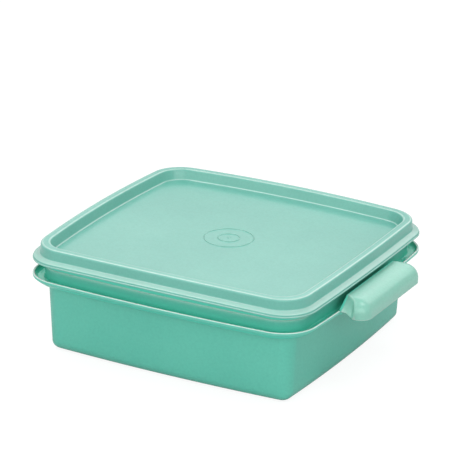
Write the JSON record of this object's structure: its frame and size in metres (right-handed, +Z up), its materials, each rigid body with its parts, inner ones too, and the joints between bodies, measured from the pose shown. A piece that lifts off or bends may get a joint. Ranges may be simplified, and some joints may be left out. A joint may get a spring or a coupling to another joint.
{
  "type": "food storage container",
  "caption": "Square plastic food keeper with drafted walls, a gutter flange, a hooded side handle and a press-on lid that lifts off.",
  "frame": {"origin": "on the table under the middle of the tub, without its handle", "axes": "+X along the longer side towards the handle, +Y towards the back, +Z up"},
  "size_m": [0.2383, 0.2114, 0.0783],
  "materials": {
    "tub_plastic": "satin moulded mint green polypropylene",
    "lid_plastic": "satin moulded mint green polyethylene"
  },
  "bodies": {
    "tub": {"tub": "tub_plastic"},
    "lid": {"lid": "lid_plastic"}
  },
  "joints": [
    {"name": "lid_lift", "type": "slide", "parent": "tub", "child": "lid", "axis": [0, 0, 1], "range_m": [0, 0.04]}
  ]
}
